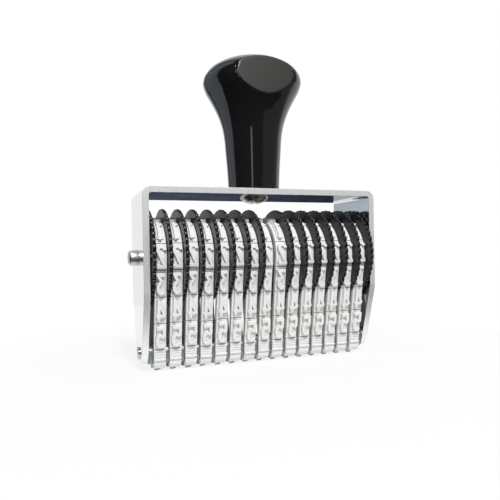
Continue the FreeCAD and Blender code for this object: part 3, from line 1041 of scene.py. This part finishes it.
# %% Finish the pieces inside
inside = ("handle_insert", "axle", "centre_spacer", "foot_bar")
for node in inside:
    thing = frame["nodes"][node]
    thing.data.materials.clear()
    thing.data.materials.append(finishes[slot_of[node]])
print("finished inside", len(inside))

# %% [markdown]
# The floor is a round pale board. To the camera it fades to white away from the machine, as in a light box,
# and near the machine it keeps the soft shadow. Light Path does that: rays from the camera, and the ones
# that metal mirrors or glass passes, see the white glow, and light that bounces still sees a plain floor.

# %% What a ray is
def kinds_of_ray(material):
    """Three switches: seen straight, mirrored or through glass; mirrored; all but the camera's own."""
    path = add(material, "ShaderNodeLightPath")
    camera_ray, mirrored = path.outputs["Is Camera Ray"], path.outputs["Is Glossy Ray"]
    direct = maths(material, "MAXIMUM", camera_ray, mirrored)
    direct = maths(material, "MAXIMUM", direct, path.outputs["Is Transmission Ray"])
    return direct, mirrored, maths(material, "SUBTRACT", 1, camera_ray)


# %% [markdown]
# Mirrored rays find a black card on the board in front of the machine, as photographers lay one there to
# keep a polished black handle black. Its near edge runs straight across. Farther off it reaches round both
# sides, and only the board behind the machine stays white. The camera doesn't see the card, and light that
# bounces meets it only in part.

# %% Black card on the floor
card_edge = -16 * MM
card_soft = 4 * MM
card_reach = 50 * MM
card_limit = 0.25
limit_soft = 0.03
card_shade = 0.3
card_black = (0.01, 0.01, 0.012)


def card_mask(material, place, distance, mirrored, unseen):
    """How far the black card covers a spot of the floor for a ray."""
    in_front = spread(material, part(material, place, "Y"), 1, 0, start=card_edge - card_soft, end=card_edge)
    aim = add(material, "ShaderNodeVectorMath", operation="NORMALIZE")
    join(material, place, aim.inputs[0])
    not_behind = spread(material, part(material, aim.outputs["Vector"], "Y"), 1, 0,
                        start=card_limit - limit_soft, end=card_limit)
    far_off = spread(material, distance, 0, 1, start=0.8 * card_reach, end=card_reach)
    card = maths(material, "MAXIMUM", in_front, maths(material, "MULTIPLY", not_behind, far_off))
    partly = spread(material, unseen, 0, card_shade, start=0, end=1)
    return maths(material, "MULTIPLY", card, between(material, mirrored, partly, 1))


# %% Floor
floor_radius = 160 * MM
floor_drop = 0.02 * MM
shadow_reach = 60 * MM
near_glow = 0.82


def over(material, factor, first, second):
    """Two shaders mixed by a factor."""
    node = add(material, "ShaderNodeMixShader")
    for socket, source in zip(node.inputs, (factor, first, second)):
        join(material, source, socket)
    return node.outputs[0]


def floor_finish():
    material, board = new_material("floor_board", (0.86, 0.86, 0.86), roughness=0.8)
    glow = add(material, "ShaderNodeEmission")
    card = add(material, "ShaderNodeEmission")
    card.inputs["Color"].default_value = (*card_black, 1)
    place = add(material, "ShaderNodeTexCoord").outputs["Object"]
    length = add(material, "ShaderNodeVectorMath", operation="LENGTH")
    join(material, place, length.inputs[0])
    distance = length.outputs["Value"]
    direct, mirrored, unseen = kinds_of_ray(material)
    fade = spread(material, distance, near_glow, 1, start=0.3 * shadow_reach, end=1.6 * shadow_reach)
    lit = over(material, maths(material, "MULTIPLY", fade, direct), board.outputs[0], glow.outputs[0])
    covered = card_mask(material, place, distance, mirrored, unseen)
    surface = over(material, covered, lit, card.outputs[0])
    join(material, surface, material.node_tree.nodes["Material Output"].inputs["Surface"])
    return material


mesh = bmesh.new()
bmesh.ops.create_circle(mesh, cap_ends=True, segments=96, radius=floor_radius)
bmesh.ops.translate(mesh, vec=(0, 0, -floor_drop), verts=mesh.verts[:])
floor = to_scene("floor", to_data(mesh, "floor"))
floor.data.materials.append(floor_finish())
print("floor radius mm", round(floor_radius / MM))

# %% [markdown]
# The room is told in the world's nodes. The camera sees plain white. Mirrored rays see what a photographer
# puts round a shiny thing: white board behind and beside it with a few dark cards, and a dim room behind the
# camera. Without those a black handle would look grey and steel would have nothing to mirror. Past the floor
# a second, lower ring of cards has dark blue behind on the right, which the underside of the frame shows.
# All other rays get an even soft light. A card is told by its bearing in degrees from the front, positive
# to the right, and a colour ramp lays the cards round the machine.

# %% Cards round the machine
white = (0.93, 0.93, 0.93)
dark = (0.015, 0.015, 0.017)
pale_blue = (0.80, 0.88, 0.95)
left_cards = [(-180, white), (-167, white), (-165, (0.15, 0.16, 0.18)), (-157, (0.17, 0.18, 0.20)),
              (-150, (0.45, 0.49, 0.54)), (-120, pale_blue), (-106, pale_blue), (-104, dark)]
right_cards = [(14, dark), (26, (0.26, 0.25, 0.23)), (92, (0.24, 0.23, 0.21)), (104, white)]
high_cards = left_cards + right_cards + [(180, white)]
blue_cards = [(134, white), (138, (0.018, 0.020, 0.034)), (152, (0.020, 0.022, 0.038)),
              (166, (0.050, 0.056, 0.088)), (178, (0.055, 0.06, 0.09)), (180, white)]
low_cards = left_cards + right_cards + blue_cards
print("cards high and low", len(high_cards), len(low_cards))

# %% Room
room_light = (0.33, 0.33, 0.33)
horizon_soft = 0.03
world = bpy.data.worlds.new("room")
bpy.context.scene.world = world
world.use_nodes = True


def ramp_of(value, low, high, stops):
    """A colour ramp over a value whose ends are given; each stop is a value and a colour."""
    node = add(world, "ShaderNodeValToRGB")
    join(world, spread(world, value, 0, 1, start=low, end=high), node.inputs["Fac"])
    elements = node.color_ramp.elements
    while len(elements) < len(stops):
        elements.new(0.5)
    for element, (place, colour) in zip(elements, stops):
        element.position = (place - low) / (high - low)
        element.color = (*colour, 1)
    return node.outputs["Color"]


view = add(world, "ShaderNodeTexCoord").outputs["Generated"]
ahead = maths(world, "MULTIPLY", part(world, view, "Y"), -1)
bearing = maths(world, "DEGREES", maths(world, "ARCTAN2", part(world, view, "X"), ahead))
below = ramp_of(part(world, view, "Z"), -1, 1, [(-1, (1, 1, 1)), (-horizon_soft, (1, 1, 1)),
                                                (horizon_soft, (0, 0, 0))])
mirrored_room = blended(world, below, ramp_of(bearing, -180, 180, high_cards),
                        ramp_of(bearing, -180, 180, low_cards))
ray = add(world, "ShaderNodeLightPath")
room = blended(world, ray.outputs["Is Glossy Ray"], room_light, mirrored_room)
seen_room = blended(world, ray.outputs["Is Camera Ray"], room, (1, 1, 1))
join(world, seen_room, world.node_tree.nodes["Background"].inputs["Color"])
print("room nodes", len(world.node_tree.nodes))

# %% [markdown]
# Two soft lamps shape the form: one high in front, which leaves a thin shadow under every raised figure, and
# a narrow upright strip beside the camera that draws the thin line down the handle.

# %% Lamps
machine_middle = Vector((0, 0, 30 * MM))


def soft_lamp(name, place, wide, tall, power):
    """A rectangle of light that looks at the middle of the machine."""
    data = bpy.data.lights.new(name, "AREA")
    data.shape = "RECTANGLE"
    data.size = wide
    data.size_y = tall
    data.energy = power
    lamp = to_scene(name, data)
    spot = Vector(place)
    aim = machine_middle - spot
    lamp.matrix_world = Matrix.LocRotScale(spot, aim.to_track_quat("-Z", "Y"), None)
    print(name, "distance mm", round(aim.length / MM))


soft_lamp("high_front", (-0.02, -0.36, 0.42), 0.09, 0.09, 2.5)
soft_lamp("strip", (-0.151, -0.316, 0.12), 0.035, 0.20, 0.05)

# %% Colour view
bpy.context.scene.view_settings.view_transform = "Standard"
